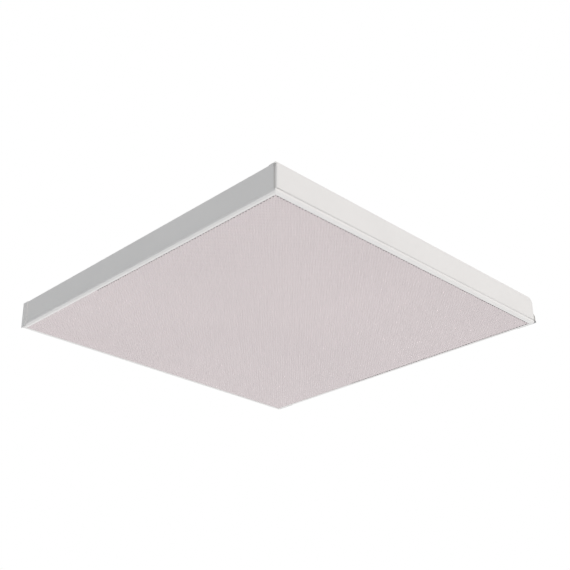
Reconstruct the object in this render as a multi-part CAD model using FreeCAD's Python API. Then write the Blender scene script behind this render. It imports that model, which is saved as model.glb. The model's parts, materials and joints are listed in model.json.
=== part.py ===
import FreeCAD, Part
import math
import os

# Recessed troffer light for a 600 mm ceiling module, in millimetres.
# +Z is up, z = 0 is the underside of the door frame (the finished ceiling plane),
# x = -A is the latch side, x = +A the hinge side, y = -A the near end, y = +A the far end.

# ---------------------------------------------------------------- driving dimensions
A = 297.5            # half of the 595 mm module
H = 44.5             # outer face of the housing's back, above the ceiling plane
T = 0.8              # sheet steel of the housing pan
CAP_T = 0.7          # sheet steel of the end plates' folds
Z_RIM = 5.6          # top of the door frame
Z_HOUSE = 6.2        # lower edge of the housing, 0.6 mm seam over the door frame
PAN_X = 296.7        # outer face of the pan's long walls
PAN_Y = 296.5        # half length of the pan
R_BEND = 1.2         # outer bend radius, latch side
R_BEND_HINGE = 9.0   # outer bend radius, hinge side (rounded top corner in the photo)
LIP = 12.0           # inward lip at the foot of the long walls
SLOT_X = -294.7      # latch edge of the near end plate; a dark upright slot lies between it and the pan
SLOT_D = 7.0         # depth of that slot
SLOT_BEND = 2.0      # outer bend radius along the slot
FOOT_BEND = 3.0      # outer bend radius along the near plate's lower edge
FAR_FOLD = 12.0      # fold of the far end plate over the latch wall
TOP_FOLD = 12.0      # fold of both end plates over the back

RAIL_OUT = 297.4     # outer faces of the door frame
RAIL_BEVEL = 2.4     # bevel on the frame's outer lower edge
RAIL_IN = 6.0        # width of the frame's underside, bevel included
RAIL_LIP = 14.0      # inward reach of the frame's upper lip
LENS_HALF = 294.4    # half side of the diffuser panel
LENS_T = 2.8
LENS_Z = 0.6

HINGE_X = 300.9      # hinge axis
HINGE_Z = 5.0
KNUCKLE_R = 2.2
PIN_R = 1.2
PIN_FIT = 0.05       # running clearance, radial
HINGE_Y0, HINGE_Y1 = 262.0, 297.5

BOARD_X = (-215.0, -95.0, 95.0, 215.0)
BOARD_W = 20.0
BOARD_HALF = 265.0
BOARD_T = 1.6
LED_PITCH = 22.0
LED_COUNT = 22

SUSP_X, SUSP_Y, SUSP_R = 180.0, 250.0, 3.5
ENTRY_Y, ENTRY_HOLE_R, ENTRY_BORE_R = 205.0, 9.0, 5.0
RIB_X, RIB_HALF = 155.0, 235.0

PIVOT_X, PIVOT_Y = 270.0, 230.0
PIVOT_R, PIVOT_FIT = 3.0, 0.06
ARM_W, ARM_L, ARM_T = 18.0, 72.0, 1.5

PAN_IN = H - T       # inner face of the back
os.makedirs("parts", exist_ok=True)
V = FreeCAD.Vector
written = []


# ---------------------------------------------------------------- helpers
def box(x0, y0, z0, x1, y1, z1):
    x0, x1 = min(x0, x1), max(x0, x1)
    y0, y1 = min(y0, y1), max(y0, y1)
    z0, z1 = min(z0, z1), max(z0, z1)
    return Part.makeBox(x1 - x0, y1 - y0, z1 - z0, V(x0, y0, z0))


def cyl(x, y, z, r, h, d=(0, 0, 1)):
    return Part.makeCylinder(r, h, V(x, y, z), V(*d))


def poly(points, lift):
    pts = [V(*p) for p in points]
    return Part.Face(Part.makePolygon(pts + [pts[0]])).extrude(V(*lift))


def prism_y(xz, y0, y1):
    return poly([(x, y0, z) for x, z in xz], (0, y1 - y0, 0))


def prism_x(yz, x0, x1):
    return poly([(x0, y, z) for y, z in yz], (x1 - x0, 0, 0))


def prism_z(xy, z0, z1):
    return poly([(x, y, z0) for x, y in xy], (0, 0, z1 - z0))


def fuse(shapes):
    out = shapes[0]
    if len(shapes) > 1:
        out = out.multiFuse(shapes[1:])
    return out.removeSplitter()


def cut(shape, tools):
    out = shape.cut(tools if isinstance(tools, list) else [tools])
    return out


def write(name, *solids):
    """One node: a single solid, or a group of separate identical solids."""
    flat = []
    for s in solids:
        flat += list(s.Solids)
    for s in flat:
        if not s.isValid() or s.Volume <= 0:
            print("BAD SOLID in", name, s.isValid(), s.Volume)
    shape = flat[0] if len(flat) == 1 else Part.Compound(flat)
    shape.exportStep("parts/%s.step" % name)
    written.append((name, len(flat), shape.Volume))


def section(x_left, x_right, z_low, z_top, r_left, r_right, y0, y1):
    """Housing cross-section in XZ with rounded top corners, drawn out along Y."""
    s = math.sqrt(0.5)
    a = V(x_left, y0, z_low)
    b = V(x_left, y0, z_top - r_left)
    bm = V(x_left + r_left * (1 - s), y0, z_top - r_left * (1 - s))
    c = V(x_left + r_left, y0, z_top)
    d = V(x_right - r_right, y0, z_top)
    dm = V(x_right - r_right * (1 - s), y0, z_top - r_right * (1 - s))
    e = V(x_right, y0, z_top - r_right)
    f = V(x_right, y0, z_low)
    edges = [
        Part.makeLine(a, b),
        Part.Arc(b, bm, c).toShape(),
        Part.makeLine(c, d),
        Part.Arc(d, dm, e).toShape(),
        Part.makeLine(e, f),
        Part.makeLine(f, a),
    ]
    return Part.Face(Part.Wire(edges)).extrude(V(0, y1 - y0, 0))


def tube(points, r, bend):
    """A wire's solid: straight runs joined by tangent arcs."""
    p = [V(*q) for q in points]
    edges, here, length = [], p[0], 0.0
    for i in range(1, len(p) - 1):
        u = (p[i] - p[i - 1]).normalize()
        w = (p[i + 1] - p[i]).normalize()
        turn = u.getAngle(w)
        room = 0.45 * min((p[i] - p[i - 1]).Length, (p[i + 1] - p[i]).Length)
        rad = min(bend, room / math.tan(turn / 2))
        t = rad * math.tan(turn / 2)
        s, e = p[i] - u * t, p[i] + w * t
        n = (w - u).normalize()
        mid = p[i] + n * (rad / math.cos(turn / 2) - rad)
        edges.append(Part.LineSegment(here, s).toShape())
        edges.append(Part.Arc(s, mid, e).toShape())
        length += (s - here).Length + rad * turn
        here = e
    edges.append(Part.LineSegment(here, p[-1]).toShape())
    length += (p[-1] - here).Length
    path = Part.Wire(edges)
    ring = Part.Wire([Part.makeCircle(r, p[0], (p[1] - p[0]).normalize())])
    solid = path.makePipeShell([ring], True, False)
    want = math.pi * r * r * length
    if abs(solid.Volume - want) > 0.01 * want:
        print("TUBE VOLUME", solid.Volume, want)
    return solid


# ---------------------------------------------------------------- housing pan
pan = section(-PAN_X, PAN_X, Z_HOUSE, H, R_BEND, R_BEND_HINGE, -PAN_Y, PAN_Y)
hollow = section(-PAN_X + T, PAN_X - T, Z_HOUSE + T, PAN_IN, R_BEND - T, R_BEND_HINGE - T, -PAN_Y - 1, PAN_Y + 1)
mouth = box(-PAN_X + LIP, -PAN_Y - 1, Z_HOUSE - 1, PAN_X - LIP, PAN_Y + 1, Z_HOUSE + T + 1)
pan = cut(pan, [hollow, mouth])

ribs, grooves, bosses = [], [], []
for x in (-RIB_X, RIB_X):
    ribs.append(prism_y([(x - 7.5, H - 0.2), (x - 5.1, H + 1.6), (x + 5.1, H + 1.6), (x + 7.5, H - 0.2)], -RIB_HALF, RIB_HALF))
    grooves.append(prism_y([(x - 6.9, PAN_IN - 0.2), (x - 4.5, H + 0.8), (x + 4.5, H + 0.8), (x + 6.9, PAN_IN - 0.2)], -RIB_HALF + 1.2, RIB_HALF - 1.2))

pivots = [(sx * PIVOT_X, sy * PIVOT_Y, sx, -sy) for sx in (-1, 1) for sy in (-1, 1)]
for px, py, sx, dy in pivots:
    bosses.append(cyl(px - sx * (ARM_W / 2 + 2.3), py + dy * 40, H - 0.2, 2.0, 2.2))
    bosses.append(cyl(px + sx * 15, py - dy * (ARM_W / 2 + 2.3), H - 0.2, 2.0, 2.2))
pan = fuse([pan] + ribs + bosses)

board_screws = [(x, y) for x in BOARD_X for y in (-200.0, 0.0, 200.0)]
cover_screws = [(x, y) for x in (-41.0, 41.0) for y in (-200.0, 200.0)]
driver_screws = [(0.0, -238.0), (0.0, -2.0)]
clamp_screws = [(-11.5, 172.0), (11.5, 172.0)]
cap_screws = [(x, y) for x in (-200.0, 0.0, 200.0) for y in (-291.0, 291.0)]
susp = [(sx * SUSP_X, sy * SUSP_Y) for sx in (-1, 1) for sy in (-1, 1)]
magnet_y = (-200.0, 200.0)
magnet_screws = [(-290.0, y + d) for y in magnet_y for d in (-12.0, 12.0)]

holes = [cyl(x, y, 40, 1.6, 10) for x, y in board_screws + driver_screws + clamp_screws + cap_screws]
holes += [cyl(x, y, 40, 2.1, 10) for x, y in cover_screws]
holes += [cyl(x, y, 40, SUSP_R, 10) for x, y in susp]
holes += [cyl(px, py, 40, 2.1, 10) for px, py, sx, dy in pivots]
holes += [cyl(0, ENTRY_Y, 40, ENTRY_HOLE_R, 10)]
holes += [cyl(x, y, 5, 1.25, 4) for x, y in magnet_screws]
hinge_rivets = [(sy * d, 14.0) for sy in (-1, 1) for d in (288.0, 270.0)]
holes += [cyl(294, y, z, 1.55, 5, (1, 0, 0)) for y, z in hinge_rivets]
# pressed line beside the far end plate's fold; mitred wall end beside the near plate's slot
holes.append(box(-PAN_X - 1, A - FAR_FOLD - 2.3, Z_HOUSE + 3, -PAN_X + 0.5, A - FAR_FOLD - 0.3, H - 3))
holes.append(prism_z([(-299, -299), (SLOT_X + 2.0, -299), (SLOT_X + 2.0, -A + SLOT_D + 0.9), (-295.7, -A + SLOT_D + 0.9), (-295.7, -292.8), (-299, -296.1)],
                     Z_HOUSE - 1, H - 0.9))
pan = cut(pan, grooves + holes)
write("housing_pan", pan)

# ---------------------------------------------------------------- end plates, shallow caps over the pan's ends
def end_plate(near):
    s = -1 if near else 1
    y_face, y_in, y_fold = s * A, s * (A - T), s * (A - TOP_FOLD)
    face = section(-A, A, Z_HOUSE, H + T, R_BEND + T, R_BEND_HINGE + T, y_face, y_in)
    ring = section(-A, A, Z_HOUSE, H + T, R_BEND + T, R_BEND_HINGE + T, y_in + s * 0.05, y_fold)
    core = section(-A + CAP_T, A - CAP_T, Z_HOUSE - 5, H + T - CAP_T, R_BEND + T - CAP_T, R_BEND_HINGE + T - CAP_T, y_in, y_fold - s * 2)
    ring = cut(ring, [core])
    tools = [box(280, y_in, 0, 310, y_fold - s * 3, 20)]
    if near:
        tools.append(box(-310, s * (A + 1), 0, -290, y_fold - s * 3, H - 1.0))
    ring = cut(ring, tools)
    foot = box(-284, y_in + s * 0.05, Z_HOUSE, 284, y_fold, Z_HOUSE + CAP_T)
    parts = [face, ring, foot]
    if not near:
        parts.append(box(-A, y_fold, 0, -A + CAP_T, y_face, Z_HOUSE + 0.5))
    if near:
        # rounded turn at the latch corner into a flange, with a web that closes the slot; rounded lower edge
        z1 = H - 1.0
        cx, cy, cz = SLOT_X + SLOT_BEND, -A + SLOT_BEND, Z_HOUSE + FOOT_BEND
        turn = cut(cyl(cx, cy, Z_HOUSE, SLOT_BEND, z1 - Z_HOUSE), [cyl(cx, cy, 0, SLOT_BEND - CAP_T, 60)])
        parts.append(turn.common(box(SLOT_X, -A, Z_HOUSE, cx, cy, z1)))
        parts.append(box(SLOT_X, cy - 0.05, Z_HOUSE, SLOT_X + CAP_T, -A + SLOT_D + CAP_T, z1))
        parts.append(box(-295.6, -A + SLOT_D, Z_HOUSE + 0.2, SLOT_X + CAP_T, -A + SLOT_D + CAP_T, z1))
        lower = cut(cyl(-284, -A + FOOT_BEND, cz, FOOT_BEND, 568, (1, 0, 0)), [cyl(-285, -A + FOOT_BEND, cz, FOOT_BEND - CAP_T, 570, (1, 0, 0))])
        parts.append(lower.common(box(-284, -A, Z_HOUSE, 284, -A + FOOT_BEND, cz)))
    plate = fuse(parts)
    if near:
        plate = cut(plate, [
            box(-A - 1, -A - 1, Z_HOUSE - 1, SLOT_X, -A + SLOT_D, z1),
            cut(box(SLOT_X - 0.1, -A - 0.1, Z_HOUSE - 1, cx, cy, z1), [cyl(cx, cy, 0, SLOT_BEND, 60)]),
            cut(box(-300, -A - 0.1, Z_HOUSE - 0.1, 300, -A + FOOT_BEND, cz), [cyl(-301, -A + FOOT_BEND, cz, FOOT_BEND, 602, (1, 0, 0))])])
    else:
        plate = cut(plate, [box(-A - 1, A - 5.8, Z_HOUSE + 3, -A + 0.45, A - 3.8, H - 3)])
    plate = cut(plate, [cyl(x, y, 43, 1.6, 6) for x, y in cap_screws if y * s > 0])
    return plate


write("end_plate_near", end_plate(True))
write("end_plate_far", end_plate(False))
write("end_plate_screws", *[
    fuse([cyl(x, y, H + T, 3.2, 1.7), cyl(x, y, 40.5, 1.5, H + T - 40.5 + 0.1)]) for x, y in cap_screws
])

# ---------------------------------------------------------------- gear channel along the middle: two Z-shaped sides and a flat lid
CH_HALF = 262.0
lid_screws = [(x, y) for x in (-31.0, 31.0) for y in (-235.0, 0.0, 235.0)]
for sx, name in ((-1, "latch"), (1, "hinge")):
    zed = prism_y([(sx * x, z) for x, z in (
        (46.0, PAN_IN), (46.0, PAN_IN - 0.8), (36.3, PAN_IN - 0.8), (36.3, 17.5), (26.0, 17.5), (26.0, 18.3), (35.5, 18.3), (35.5, PAN_IN))],
        -CH_HALF, CH_HALF)
    zed = cut(zed, [cyl(x, y, 40, 2.1, 10) for x, y in cover_screws if x * sx > 0]
              + [cyl(x, y, 15, 1.5, 6) for x, y in lid_screws if x * sx > 0])
    write("gear_channel_side_" + name, zed)
write("gear_channel_screws", *[
    fuse([cyl(x, y, PAN_IN - 3.2, 3.8, 2.4), cyl(x, y, PAN_IN - 0.9, 2.0, 3.8)]) for x, y in cover_screws
])
cover = prism_y([(-36.3, 16.7), (36.3, 16.7), (36.3, 17.5), (-36.3, 17.5)], -CH_HALF, CH_HALF)
cover = cut(cover, [cyl(x, y, 10, 1.7, 10) for x, y in lid_screws])
write("gear_cover", cover)
write("gear_cover_screws", *[
    fuse([cyl(x, y, 16.05, 3.2, 0.65), cyl(x, y, 16.6, 1.45, 4.6)]) for x, y in lid_screws
])

# driver: base plate with posts, lid, circuit board, components
base = fuse(
    [box(-17, -232, 42.2, 17, -8, PAN_IN), box(-8, -244, 42.2, 8, -231.9, PAN_IN), box(-8, -8.1, 42.2, 8, 4, PAN_IN)]
    + [cyl(x, y, 38.6, 2.0, 3.7) for x in (-11, 11) for y in (-218, -22)])
base = cut(base, [cyl(x, y, 40, 1.6, 10) for x, y in driver_screws])
write("driver_base", base)
lid = cut(box(-17, -232, 22.5, 17, -8, 42.2), [box(-15.6, -230.6, 23.9, 15.6, -9.4, 45)])
out_x = (-9.0, -4.0, 4.0, 9.0)
lid = cut(lid, [cyl(x, -235, 39.9, 1.15, 6, (0, 1, 0)) for x in out_x] + [cyl(x, -12, 34, 1.45, 6, (0, 1, 0)) for x in (-6, 6)])
write("driver_lid", lid)
write("driver_circuit_board", box(-14.5, -226, 37, 14.5, -14, 38.6))
comp = [
    box(-11, -122, 26.0, 11, -96, 37.0),
    box(-12, -92, 28.0, -4, -78, 37.0),
    cyl(6, -84, 25.0, 5.0, 12.0),
    cyl(0, -62, 25.0, 6.3, 12.0),
    cyl(-1, -160, 27.0, 8.0, 10.0),
    box(4, -140, 30.0, 12, -130, 37.0),
    box(-12, -190, 29.0, 10, -178, 37.0),
    box(-11, -44, 30.0, 11, -32, 37.0),
    cyl(0, -205, 26.5, 5.0, 10.5),
]
write("driver_components", *comp)
write("driver_screws", *[fuse([cyl(x, y, 40.4, 2.8, 1.8), cyl(x, y, 42.1, 1.5, 4.0)]) for x, y in driver_screws])

# supply terminals
block = box(-17, 128, 27.7, 17, 148, PAN_IN)
tools, tscrews = [], []
for x in (-10.0, 0.0, 10.0):
    tools += [cyl(x, 127, 34, 1.5, 7, (0, 1, 0)), cyl(x, 141, 34, 1.9, 8, (0, 1, 0))]
    for y in (133.0, 143.0):
        tools.append(cyl(x, y, 27, 2.3, 4.5))
        tscrews.append(cut(cyl(x, y, 28.3, 2.05, 3.2), [box(x - 3, y - 0.35, 28, x + 3, y + 0.35, 29.1)]))
for x in (-5.0, 5.0):
    tools.append(box(x - 0.5, 127, 27, x + 0.5, 149, 30.5))
write("terminal_block", cut(block, tools))
write("terminal_screws", *tscrews)

# earth point
write("earth_stud", cyl(0, 90, 32, 2.0, PAN_IN - 32))
lug = fuse([cyl(0, 90, PAN_IN - 0.8, 4.2, 0.8), box(-2.2, 92, PAN_IN - 0.8, 2.2, 99, PAN_IN), cyl(0, 98, PAN_IN - 1.9, 1.9, 9, (0, 1, 0))])
lug = cut(lug, [cyl(0, 90, 40, 2.1, 8)])
write("earth_lug", lug)
write("earth_washer", cut(cyl(0, 90, PAN_IN - 1.6, 4.5, 0.8), [cyl(0, 90, 40, 2.1, 8)]))
hexa = [(7.0 / math.sqrt(3) * math.cos(math.radians(60 * k)), 90 + 7.0 / math.sqrt(3) * math.sin(math.radians(60 * k))) for k in range(6)]
write("earth_nut", cut(prism_z(hexa, PAN_IN - 4.8, PAN_IN - 1.6), [cyl(0, 90, 36, 2.05, 8)]))

# internal wiring
write("live_wire", tube([(-10, 132, 34), (-10, 112, 34), (-9, 62, 36.5), (-6, 12, 34), (-6, -12, 34)], 1.2, 40))
write("neutral_wire", tube([(10, 132, 34), (10, 112, 34), (9, 62, 36.5), (6, 12, 34), (6, -12, 34)], 1.2, 40))
write("earth_wire", tube([(0, 107, PAN_IN - 1.9), (0, 113.5, PAN_IN - 1.9), (0, 121.5, 34), (0, 132, 34)], 1.2, 6))
ZW = 39.9
outw = []
for s in (-1, 1):
    outw.append(tube([(s * 9, -228, ZW), (s * 9, -276, ZW), (s * 92.5, -276, ZW), (s * 92.5, -260.5, ZW)], 0.9, 7))
    outw.append(tube([(s * 4, -228, ZW), (s * 4, -280, ZW), (s * 97.5, -280, ZW), (s * 97.5, -260.5, ZW)], 0.9, 7))
write("output_wires", *outw)
jump = []
for s in (-1, 1):
    jump.append(tube([(s * 97.5, 260.5, ZW), (s * 97.5, 276, ZW), (s * 212.5, 276, ZW), (s * 212.5, 260.5, ZW)], 0.9, 7))
    jump.append(tube([(s * 92.5, 260.5, ZW), (s * 92.5, 281, ZW), (s * 217.5, 281, ZW), (s * 217.5, 260.5, ZW)], 0.9, 7))
write("jumper_wires", *jump)

# cable entry
grommet = fuse([cyl(0, ENTRY_Y, H, 12.0, 2.5), cyl(0, ENTRY_Y, PAN_IN - 0.1, ENTRY_HOLE_R - 0.05, T + 0.2), cyl(0, ENTRY_Y, 41.5, 11.5, PAN_IN - 41.5)])
write("cable_grommet", cut(grommet, [cyl(0, ENTRY_Y, 40, ENTRY_BORE_R, 10)]))
clamp = cut(box(-16, 167, 31, 16, 177, PAN_IN), [box(-7, 160, 36, 7, 180, 50)])
clamp = cut(clamp, [cyl(x, y, 25, 1.6, 20) for x, y in clamp_screws])
write("cable_clamp", clamp)
write("cable_clamp_screws", *[fuse([cyl(x, y, 29.2, 2.8, 1.8), cyl(x, y, 30.9, 1.5, 15.0)]) for x, y in clamp_screws])

# ---------------------------------------------------------------- LED boards on the inner face of the back
leds, conns = [], []
for k, x in enumerate(BOARD_X, 1):
    b = box(x - BOARD_W / 2, -BOARD_HALF, PAN_IN - BOARD_T, x + BOARD_W / 2, BOARD_HALF, PAN_IN)
    write("led_board_%d" % k, cut(b, [cyl(x, y, 40, 1.6, 8) for y in (-200.0, 0.0, 200.0)]))
    for i in range(LED_COUNT):
        y = (i - (LED_COUNT - 1) / 2) * LED_PITCH
        leds.append(box(x - 1.4, y - 1.75, PAN_IN - BOARD_T - 0.7, x + 1.4, y + 1.75, PAN_IN - BOARD_T))


def connector(x, s):
    c = box(x - 6, s * 255.5, 37.9, x + 6, s * 264.5, PAN_IN - BOARD_T)
    return cut(c, [cyl(x + d, s * 266, ZW, 1.1, 6, (0, -s, 0)) for d in (-2.5, 2.5)])


for x in (-95.0, 95.0):
    conns += [connector(x, -1), connector(x, 1)]
for x in (-215.0, 215.0):
    conns.append(connector(x, 1))
write("led_packages", *leds)
write("board_connectors", *conns)
write("board_screws", *[fuse([cyl(x, y, 40.3, 2.8, 1.8), cyl(x, y, 42.0, 1.5, 4.0)]) for x, y in board_screws])

# ---------------------------------------------------------------- hinges
def hinge(s, name):
    def seg(r, y0, y1):
        return cyl(HINGE_X, s * y0, HINGE_Z, r, abs(y1 - y0), (0, s, 0))

    h_segs = ((HINGE_Y0, 270.5), (289.0, HINGE_Y1))
    d_seg = (270.8, 288.7)
    leaf = [box(PAN_X, s * HINGE_Y0, 7.4, PAN_X + 1.0, s * 296.5, 18.5)]
    for y0, y1 in h_segs:
        leaf.append(seg(KNUCKLE_R, y0, y1))
        ya, yb = sorted((s * y0, s * min(y1, 296.5)))
        leaf.append(prism_y([(297.0, 7.4), (297.7, 8.9), (301.0, 7.15), (300.2, 6.3), (298.9, 6.3)], ya, yb))
    ya, yb = sorted((s * 295.3, s * 296.5))
    leaf.append(prism_y([(297.2, 18.5), (299.6, 18.5), (303.1, 15.2), (303.1, 7.4), (301.6, 6.7), (300.0, 6.7), (297.2, 7.6)], ya, yb))
    leaf = fuse(leaf)
    leaf = cut(leaf, [seg(PIN_R + 0.02, HINGE_Y0 - 1, HINGE_Y1 + 1)]
               + [cyl(294, y, z, 1.55, 6, (1, 0, 0)) for y, z in hinge_rivets if y * s > 0])
    write("hinge_leaf_housing_" + name, leaf)
    door = fuse([
        box(RAIL_OUT, s * HINGE_Y0, 2.6, RAIL_OUT + 0.8, s * 296.5, 5.4),
        box(298.1, s * d_seg[0], 4.0, 299.6, s * d_seg[1], 5.4),
        seg(KNUCKLE_R, *d_seg)])
    door = cut(door, [seg(PIN_R + PIN_FIT, HINGE_Y0 - 1, HINGE_Y1 + 1)])
    write("hinge_leaf_door_" + name, door)
    write("hinge_pin_" + name, seg(PIN_R, HINGE_Y0 + 0.2, HINGE_Y1 - 0.2))


hinge(-1, "near")
hinge(1, "far")
write("hinge_rivets", *[
    fuse([cyl(PAN_X + 1.0, y, z, 2.6, 0.8, (1, 0, 0)), cyl(PAN_X - T - 0.1, y, z, 1.5, T + 1.2, (1, 0, 0)), cyl(PAN_X - T - 0.8, y, z, 2.6, 0.8, (1, 0, 0))])
    for y, z in hinge_rivets
])

# ---------------------------------------------------------------- magnetic catches behind the latch rail
magnets = []
for y, name in zip(magnet_y, ("near", "far")):
    h = fuse([box(-295, y - 18, 7.0, -284.5, y + 18, 8.4), box(-284.4 - 0.1, y - 18, Z_HOUSE, -270, y + 18, 15.0)])
    h = cut(h, [box(-282.5, y - 12, 5, -272.5, y + 12, 10.2)] + [cyl(mx, my, 5, 1.25, 6) for mx, my in magnet_screws if abs(my - y) < 20])
    write("magnet_holder_" + name, h)
    magnets.append(box(-282.3, y - 11.8, Z_HOUSE + 0.1, -272.7, y + 11.8, 10.2))
write("catch_magnets", *magnets)
write("magnet_screws", *[fuse([cyl(x, y, 8.4, 2.6, 1.8), cyl(x, y, 6.3, 1.2, 2.2)]) for x, y in magnet_screws])

# ---------------------------------------------------------------- door frame: four mitred rails
rail = [(0, Z_RIM), (0, RAIL_BEVEL), (RAIL_BEVEL, 0), (RAIL_IN, 0), (RAIL_IN + 0.6, LENS_Z), (2.8, LENS_Z), (1.0, 2.8),
        (1.0, 4.8), (RAIL_LIP, 4.8), (RAIL_LIP, Z_RIM)]
L = RAIL_OUT + 5
notch = box(-300, 285.0, -1, -RAIL_OUT + 1.0, 300, 7)
rails = {
    "door_rail_latch": (prism_y([(-RAIL_OUT + u, z) for u, z in rail], -RAIL_OUT, RAIL_OUT), [(0, 0), (-L, -L), (-L, L)]),
    "door_rail_hinge": (prism_y([(RAIL_OUT - u, z) for u, z in rail], -RAIL_OUT, RAIL_OUT), [(0, 0), (L, -L), (L, L)]),
    "door_rail_near": (prism_x([(-RAIL_OUT + u, z) for u, z in rail], -RAIL_OUT, RAIL_OUT), [(0, 0), (-L, -L), (L, -L)]),
    "door_rail_far": (prism_x([(RAIL_OUT - u, z) for u, z in rail], -RAIL_OUT, RAIL_OUT), [(0, 0), (-L, L), (L, L)]),
}
for name, (shape, tri) in rails.items():
    shape = shape.common(prism_z(tri, -2, 10))
    if name in ("door_rail_latch", "door_rail_far"):
        shape = cut(shape, [notch])
    write(name, shape)

corner = []
for sx in (-1, 1):
    for sy in (-1, 1):
        o, i, e = RAIL_OUT - 1.2, RAIL_OUT - 13.2, RAIL_OUT - 46
        corner.append(prism_z([(sx * o, sy * o), (sx * e, sy * o), (sx * e, sy * i), (sx * i, sy * i), (sx * i, sy * e), (sx * o, sy * e)], 4.0, 4.8))
write("corner_brackets", *corner)

lens = box(-LENS_HALF, -LENS_HALF, LENS_Z, LENS_HALF, LENS_HALF, LENS_Z + LENS_T)
write("diffuser_panel", lens)
pads = []
o, i = RAIL_OUT - 4.0, RAIL_OUT - 12.0
for c in (-130.0, 130.0):
    pads += [box(-o, c - 10, LENS_Z + LENS_T, -i, c + 10, 4.8), box(i, c - 10, LENS_Z + LENS_T, o, c + 10, 4.8),
             box(c - 10, -o, LENS_Z + LENS_T, c + 10, -i, 4.8), box(c - 10, i, LENS_Z + LENS_T, c + 10, o, 4.8)]
write("diffuser_pads", *pads)
write("strike_plates", *[box(-RAIL_OUT + RAIL_LIP, y - 15, 4.8, -271, y + 15, Z_RIM) for y in magnet_y])

# ---------------------------------------------------------------- swing-out mounting brackets on the back
z0 = H + 0.55
for k, (px, py, sx, dy) in enumerate(pivots, 1):
    w = ARM_W / 2
    arm = fuse([
        cyl(px, py, z0, w, ARM_T),
        box(px - w, py, z0, px + w, py + dy * ARM_L, z0 + ARM_T),
        box(px - w, py + dy * (ARM_L - ARM_T), z0, px + w, py + dy * ARM_L, z0 + 7.5),
    ])
    slot = fuse([
        cyl(px, py + dy * 36, z0 - 1, 2.25, 5), cyl(px, py + dy * 54, z0 - 1, 2.25, 5),
        box(px - 2.25, py + dy * 36, z0 - 1, px + 2.25, py + dy * 54, z0 + 4)])
    arm = cut(arm, [cyl(px, py, z0 - 1, PIVOT_R + PIVOT_FIT, 5), slot])
    write("swing_bracket_%d" % k, arm)
rivets, washers = [], []
for px, py, sx, dy in pivots:
    rivets.append(fuse([
        cyl(px, py, PAN_IN - 1.0, 3.6, 1.0), cyl(px, py, PAN_IN - 0.1, 2.0, T + 0.2), cyl(px, py, H, PIVOT_R, 2.7),
        cyl(px, py, H + 2.6, 5.5, 1.6)]))
    washers.append(cut(cyl(px, py, H, 6.0, 0.5), [cyl(px, py, H - 1, PIVOT_R + 0.1, 5)]))
    washers.append(cut(cyl(px, py, H + 2.1, 6.0, 0.5), [cyl(px, py, H - 1, PIVOT_R + 0.1, 5)]))
write("bracket_pivots", *rivets)
write("bracket_washers", *washers)

print(len(written), "nodes")
for n, c, v in written:
    print("%-28s %3d solids %12.1f mm3" % (n, c, v))
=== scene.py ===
import json
import math
import random

import bpy
import bmesh
import numpy as np
from mathutils import Matrix, Vector


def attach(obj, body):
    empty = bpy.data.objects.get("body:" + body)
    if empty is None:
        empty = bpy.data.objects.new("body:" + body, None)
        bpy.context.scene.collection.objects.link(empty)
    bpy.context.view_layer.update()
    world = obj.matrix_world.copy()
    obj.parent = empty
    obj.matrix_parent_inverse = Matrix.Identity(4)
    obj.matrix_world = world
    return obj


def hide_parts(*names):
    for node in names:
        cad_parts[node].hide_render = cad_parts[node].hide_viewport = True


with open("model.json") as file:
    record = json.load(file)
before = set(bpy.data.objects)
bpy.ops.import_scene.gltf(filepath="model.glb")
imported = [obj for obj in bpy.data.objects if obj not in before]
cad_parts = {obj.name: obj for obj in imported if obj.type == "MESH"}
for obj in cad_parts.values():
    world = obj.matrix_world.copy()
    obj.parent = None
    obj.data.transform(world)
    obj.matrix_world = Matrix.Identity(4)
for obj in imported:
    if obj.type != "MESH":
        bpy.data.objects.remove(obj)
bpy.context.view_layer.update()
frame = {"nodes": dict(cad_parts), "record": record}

NODES = frame["nodes"]
scene = bpy.context.scene
scene.view_settings.view_transform = "Standard"
scene.view_settings.look = "None"
MM = 0.001


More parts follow.
